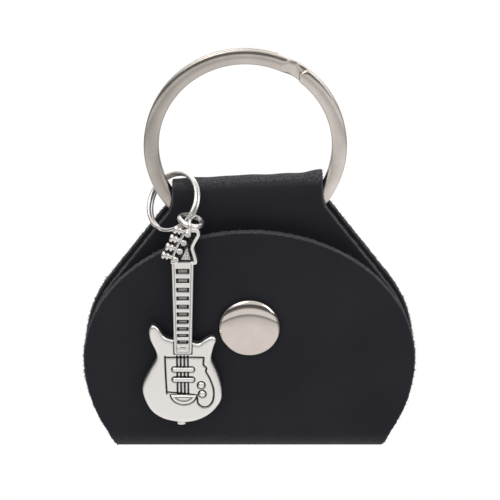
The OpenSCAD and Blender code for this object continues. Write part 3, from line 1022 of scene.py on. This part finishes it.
def body_relief(p):
    """Height and patina of the body's front, with a painted shadow line round the end of the neck."""
    depth = distance_to(p, BODY_LINE)
    h = -0.5 * (1 - np.sqrt(1 - (1 - np.clip(depth / 0.9, 0, 1)) ** 2))
    dark = np.zeros(len(p))
    guard = smooth_loop([
        (-3.64, -6.1), (-3.55, -5.76), (-3.2, -5.7), (0.0, -5.65), (3.8, -5.7), (4.15, -5.9), (4.1, -7.3),
        (4.7, -8.1), (4.6, -8.9), (5.4, -10.6), (6.1, -13), (5.98, -15.4), (5.1, -16.8), (3.9, -17.05),
        (2.9, -16.2), (2.75, -15.0), (2.2, -14.3), (-0.5, -13.9), (-3.1, -13.6), (-3.45, -13.3),
    ], 5)
    line = hollow(distance_to(p, guard), 0.17)
    h -= 0.22 * line
    dark += line
    # Sunk field with three raised strings
    field = (np.abs(p[:, 0] + 0.12) < 1.24) & (p[:, 1] < -5.2) & (p[:, 1] > -14.2)
    strings = np.zeros(len(p))
    for x in (-0.86, -0.12, 0.62):
        strings = np.maximum(strings, hollow(p[:, 0] - x, 0.24))
    h += np.where(field, -0.25 + 0.3 * strings, 0)
    dark += np.where(field, 1 - strings ** 0.7, 0)
    # Pickups
    for z in (-8.4, -10.7):
        d = bar(p, (-1.75, z), (1.75, z), 0.52)
        top = smooth(-d / 0.25)
        h = np.where(d < 0, 0.05 + 0.32 * top, h - 0.22 * hollow(d, 0.15))
        dark = np.where(d < -0.05, 0, dark + hollow(d, 0.16))
    # Half-moon bridge
    cup = np.hypot(p[:, 0] / 1.12, p[:, 1] + 14.1) - 2.35
    moon = np.maximum(cup, p[:, 1] + 14.3)
    inner = np.maximum(np.hypot(p[:, 0] / 1.25, p[:, 1] + 14.1) - 1.5, p[:, 1] + 14.75)
    raised = 0.22 * smooth(-moon / 0.25) - 0.12 * smooth(-inner / 0.2)
    h = np.where(moon < 0, raised, h - 0.22 * hollow(moon, 0.16))
    dark = np.where(moon < -0.05, 0.55 * hollow(inner, 0.14), dark + hollow(moon, 0.18))
    # Knobs
    for x, z in ((3.6, -12.0), (3.8, -14.0)):
        d = np.hypot(p[:, 0] - x, p[:, 1] - z) - 0.74
        h = np.where(d < 0, 0.05 + 0.3 * smooth(-d / 0.3), h - 0.2 * hollow(d, 0.15))
        dark = np.where(d < -0.06, 0, dark + hollow(d, 0.17))
    # Shadow line round the end of the neck
    d = neck_distance(p)
    dark += hollow(d, 0.16)
    dark = np.where(depth < 0.12, dark * 0.3, dark)
    return h, np.clip(1.5 * dark, 0, 1)


def neck_half(z):
    """Half of the neck's width, which grows towards the headstock."""
    t = (z - NECK_END) / (NECK_TOP - NECK_END)
    return 1.78 + 0.42 * t


def neck_distance(p):
    """Distance outside the neck, negative inside."""
    x = np.abs(p[:, 0] - neck_middle(p[:, 1])) - neck_half(p[:, 1])
    return np.maximum(x, NECK_END - p[:, 1])


def neck_middle(z):
    """Centre line of the neck, which leans a little to the right."""
    return 0.28 * (z - NECK_END) / (NECK_TOP - NECK_END)


def neck_outline():
    """The neck's outline, with a heel that is cut square."""
    left, right = [], []
    for i in range(60):
        z = NECK_END + 0.5 + (NECK_TOP - NECK_END - 0.5) * i / 59
        left.append((neck_middle(z) - neck_half(z), z))
        right.append((neck_middle(z) + neck_half(z), z))
    half = neck_half(NECK_END)
    heel = ((-0.93, 0.12), (-0.75, 0.0), (0, 0), (0.75, 0), (0.93, 0.12))
    foot = [(half * x, NECK_END + y) for x, y in heel]
    return np.array(foot + right + left[::-1])


def neck_relief(p):
    """Rails along the neck with a ladder of frets between them."""
    depth = np.maximum(-neck_distance(p), 0)
    h = -0.28 * (1 - np.sqrt(1 - (1 - np.clip(depth / 0.4, 0, 1)) ** 2))
    x = np.abs(p[:, 0] - neck_middle(p[:, 1]))
    dark = 0.7 * hollow(depth - 0.5, 0.1)
    z, pitch = FIRST_FRET, FRET_PITCH
    for _ in range(FRETS):
        half_w = 1.36 - 0.012 * (FIRST_FRET - z)
        half_h = 0.43 + 0.0105 * (z + 3.2)
        d = np.maximum(x - half_w, np.abs(p[:, 1] - z) - half_h)
        sunk = smooth(-d / 0.12)
        grit = 0.75 + 0.25 * np.sin(p[:, 0] * 9 + z) * np.sin(p[:, 1] * 17)
        middle = smooth((half_h - 0.16 - np.abs(p[:, 1] - z)) / 0.15) * smooth((half_w - 0.3 - x) / 0.25)
        h -= 0.36 * sunk * (1 - 0.35 * middle)
        dark = np.maximum(dark, sunk * (1 - 0.5 * middle * grit))
        z -= pitch
        pitch *= FRET_SHRINK
    return h, np.clip(dark, 0, 1)


def head_relief(p):
    """Raised rim on the right, sunk field, tuner posts and a rough triangle."""
    depth = distance_to(p, HEAD_LINE)
    left = smooth((0.47 * (p[:, 1] - 17.6) - p[:, 0]) / 0.6)
    sunk = smooth((depth - 0.66 + 0.3 * left) / 0.16)
    h = -0.25 * (1 - np.sqrt(1 - (1 - np.clip(depth / 0.35, 0, 1)) ** 2)) - 0.42 * sunk
    dark = sunk.copy()
    triangle = np.array([(1.95, 15.75), (-0.2, 15.85), (1.25, 18.9)], float)
    d = distance_to(p, triangle) * np.where(inside(p, triangle), -1, 1)
    rough = 0.06 * wave(p, 0.5, 5)
    h = np.where(d < 0, -0.12 + rough - 0.2 * hollow(d, 0.1), h)
    dark = np.where(d < -0.05, 0.28 + 0.3 * (rough < -0.015), dark)
    for x, z in POSTS:
        d = np.hypot(p[:, 0] - x, p[:, 1] - z) - 0.66
        h = np.where(d < 0, 0.02 + 0.22 * smooth(-d / 0.2) - 0.1 * hollow(d + 0.36, 0.12), h)
        dark = np.where(d < -0.04, 0.5 * hollow(d + 0.42, 0.13), dark)
    return h, np.clip(np.where(depth < 0.3, 0, dark), 0, 1)


CAST_RIM = [(0.10, 0.0), (0.03, 0.05), (0.0, 0.13), (0.0, 0.5), (0.0, 0.87), (0.04, 0.95), (0.14, 1.0)]


def cast_plate(loop, spacing, front_y, back_y, relief):
    """Cast plate with a worked front. Returns points, faces and patina, which holds any painted shadow line
    too.
    """
    found = {}

    def front(p):
        h, dark = relief(p)
        found["dark"] = dark
        return front_y - h

    def place(p, y):
        return np.column_stack([CHARM_X + p[:, 0], y, p[:, 1]])

    points, faces, share = plate([loop], spacing, CAST_RIM, place, front, lambda p: np.full(len(p), back_y))
    patina = np.zeros(len(points))
    n = len(found["dark"])
    patina[:n] = found["dark"]
    patina[2 * n:] = 0.12
    return (points, faces), patina


def tuner(x, z):
    """Peg beside the headstock: a shaft with a double-ribbed button."""
    profile = [
        (0.0, -1.35), (0.4, -1.35), (0.42, -0.25), (0.66, -0.2), (0.78, -0.05), (0.78, 0.26), (0.5, 0.38),
        (0.5, 0.54), (0.8, 0.66), (0.82, 0.98), (0.66, 1.2), (0.0, 1.26),
    ]
    lean = math.radians(PEG_LEAN)
    way = np.array([-math.cos(lean), 0, math.sin(lean)])
    side = np.array([math.sin(lean), 0, math.cos(lean)])
    centre = np.array([CHARM_X + x + PEG_X, (NECK_FRONT + NECK_BACK) / 2 - 0.1, z + PEG_Z])
    return lathe(profile, lambda a, b, h: centre + way * h + side * a + np.array([0, b * 0.85, 0]), 28)


def guitar_charm():
    """One casting: body, neck, headstock, tuners, strap button and eye."""
    parts, patina = [], []
    for loop, spacing, front_y, back_y, relief in (
        (BODY_LINE, 0.15, BODY_FRONT, BODY_BACK, body_relief),
        (neck_outline(), 0.11, NECK_FRONT, NECK_BACK, neck_relief),
        (HEAD_LINE, 0.10, NECK_FRONT, NECK_BACK, head_relief),
    ):
        made, dark = cast_plate(loop, spacing, front_y, back_y, relief)
        parts.append(made)
        patina.append(dark)
    for x, z in POSTS:
        made = tuner(x, z)
        parts.append(made)
        patina.append(np.full(len(made[0]), 0.1))
    # Strap button
    button = lathe(
        [(0.0, -1.0), (0.7, -1.0), (0.8, -0.4), (0.95, 0.0), (0.92, 0.28), (0.7, 0.42), (0.0, 0.44)],
        lambda a, b, h: (CHARM_X + BUTTON_X + a, (BODY_FRONT + BODY_BACK) / 2 + 0.6 * b, BUTTON_Z - h), 32,
    )
    # Eye for the jump ring
    axes = (np.array([0, 1.0, 0]), np.array([0, 0, 1.0]), np.array([1.0, 0, 0]))
    eye = coil(CHARM_EYE, axes, EYE_R, round_section(EYE_WIRE_D, 24), lambda t: 0.0, 0, 360, 7.5)
    for made in (button, eye):
        parts.append(made)
        patina.append(np.full(len(made[0]), 0.08))
    points, faces = join(*parts)
    piece(
        "guitar_charm_cast", points, faces, SILVER, "guitar_charm", "antique_silver", ["guitar_charm"], 55,
        patina=np.concatenate(patina),
    )


# ---- Studio ----
CAMERA_TARGET = Vector((0.12, -5.0, 14.5)) * MM
CAMERA_DISTANCE = 320 * MM
CAMERA_ELEVATION = math.radians(23.5)
CAMERA_LENS = 114.5
FLOOR_DROP = 55
FLOOR_HALF = 3.0
# Greys of the mirrored room from below to above
ROOM_FRONT = [
    (0.0, 0.95), (0.29, 0.95), (0.355, 0.72), (0.385, 0.2), (0.40, 0.95), (0.475, 0.95), (0.53, 0.15),
    (0.66, 0.10), (0.72, 0.85), (1.0, 1.0),
]
ROOM_BACK = [(0.0, 0.9), (0.5, 0.95), (1.0, 1.0)]


def studio():
    """Camera, floor, lights and room."""
    scene = bpy.context.scene
    scene.view_settings.view_transform = "Standard"
    way = Vector((0, -math.cos(CAMERA_ELEVATION), math.sin(CAMERA_ELEVATION)))
    camera = put("camera", bpy.data.cameras.new("camera"))
    camera.data.lens = CAMERA_LENS
    camera.data.sensor_width = 36
    camera.data.clip_start = 0.01
    camera.location = CAMERA_TARGET + way * CAMERA_DISTANCE
    camera.rotation_euler = way.to_track_quat("Z", "Y").to_euler()
    scene.camera = camera

    # The holder hangs from its ring, so the open flap has room above the floor
    floor_z = (FOLD_LOW_Z - FLOOR_DROP) * MM
    mesh = bpy.data.meshes.new("floor")
    corners = [(x * FLOOR_HALF, y * FLOOR_HALF, floor_z) for x, y in ((-1, -1), (1, -1), (1, 1), (-1, 1))]
    mesh.from_pydata(corners, [], [(0, 1, 2, 3)])
    floor = put("floor", mesh)
    mesh.materials.append(floor_material())
    # The metal mirrors the room's lower half, so the floor's edge draws no line on it
    floor.visible_glossy = False
    floor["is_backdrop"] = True

    light("key_light", (-0.35, -0.45, 0.75), 0.55, 2.6)
    light("fill_light", (0.6, -0.35, 0.35), 0.45, 1.2)
    light("rim_light", (0.1, 0.6, 0.6), 0.5, 1.4)
    world()


def light(name, place, size, watts):
    """Square soft light that looks at the holder."""
    data = bpy.data.lights.new(name, "AREA")
    data.size = size
    data.energy = watts
    obj = put(name, data)
    obj.location = place
    obj.rotation_euler = (Vector(place) - CAMERA_TARGET).to_track_quat("Z", "Y").to_euler()


def floor_material():
    """Pale paper that stays white to the camera and only darkens softly under the object."""
    s = Shader("floor_paper")
    s.finish(Base_Color=(0.9, 0.9, 0.9), Roughness=0.9)
    paper = s.noise(3, 3)
    s.feed(s.surface.inputs["Base Color"], s.ramp(paper, (0.2, 0.88), (0.8, 0.92)))
    glow = s.add("ShaderNodeEmission", Color=(1, 1, 1, 1), Strength=1.0)
    mixed = s.add("ShaderNodeMixShader")
    rays = s.add("ShaderNodeLightPath")
    s.feed(mixed.inputs[0], s.maths("MULTIPLY", rays.outputs["Is Camera Ray"], 0.8))
    s.links.new(s.surface.outputs[0], mixed.inputs[1])
    s.links.new(glow.outputs[0], mixed.inputs[2])
    s.links.new(mixed.outputs[0], s.nodes["Material Output"].inputs["Surface"])
    return s.material


def world():
    """White to the camera. Reflections see a bright room with a dark band where the photographer stands."""
    made = bpy.data.worlds.new("studio")
    bpy.context.scene.world = made
    made.use_nodes = True
    nodes, links = made.node_tree.nodes, made.node_tree.links
    background = nodes["Background"]
    way = nodes.new("ShaderNodeSeparateXYZ")
    links.new(nodes.new("ShaderNodeTexCoord").outputs["Generated"], way.inputs[0])
    rise = nodes.new("ShaderNodeMath")
    rise.operation = "MULTIPLY_ADD"
    for socket in rise.inputs[1:]:
        socket.default_value = 0.5
    links.new(way.outputs["Z"], rise.inputs[0])

    # The front ramp turns into the back one beside the holder
    behind = nodes.new("ShaderNodeMapRange")
    behind.inputs["From Min"].default_value = -0.5
    behind.inputs["From Max"].default_value = 0.1
    links.new(way.outputs["Y"], behind.inputs["Value"])
    room = nodes.new("ShaderNodeMix")
    room.data_type = "RGBA"
    links.new(behind.outputs[0], room.inputs[0])
    for stops, socket in ((ROOM_FRONT, room.inputs[6]), (ROOM_BACK, room.inputs[7])):
        ramp = nodes.new("ShaderNodeValToRGB")
        fill_ramp(ramp, stops)
        links.new(rise.outputs[0], ramp.inputs["Fac"])
        links.new(ramp.outputs["Color"], socket)
    links.new(room.outputs[2], background.inputs["Color"])

    # Dark cards at both sides draw the dark rims on the metal
    aside = nodes.new("ShaderNodeMath")
    aside.operation = "ABSOLUTE"
    links.new(way.outputs["X"], aside.inputs[0])
    card = nodes.new("ShaderNodeMapRange")
    for key, value in (("From Min", 0.72), ("From Max", 0.9), ("To Min", 1.0), ("To Max", 0.25)):
        card.inputs[key].default_value = value
    links.new(aside.outputs[0], card.inputs["Value"])
    links.new(card.outputs[0], background.inputs["Strength"])

    white = nodes.new("ShaderNodeBackground")
    white.inputs["Color"].default_value = (1, 1, 1, 1)
    rays = nodes.new("ShaderNodeLightPath")
    mixed = nodes.new("ShaderNodeMixShader")
    links.new(rays.outputs["Is Camera Ray"], mixed.inputs[0])
    links.new(background.outputs[0], mixed.inputs[1])
    links.new(white.outputs[0], mixed.inputs[2])
    links.new(mixed.outputs[0], nodes["World Output"].inputs["Surface"])


front_leather()
back_leather()
inner_leather()
snap_cap()
snap_parts()
key_ring()
split_ring()
jump_ring()
guitar_charm()
studio()

bpy.context.view_layer.update()
boxes = {"cad": cad_box, "visual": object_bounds()}
{k: [list(map(float, corner)) for corner in v] for k, v in boxes.items()}
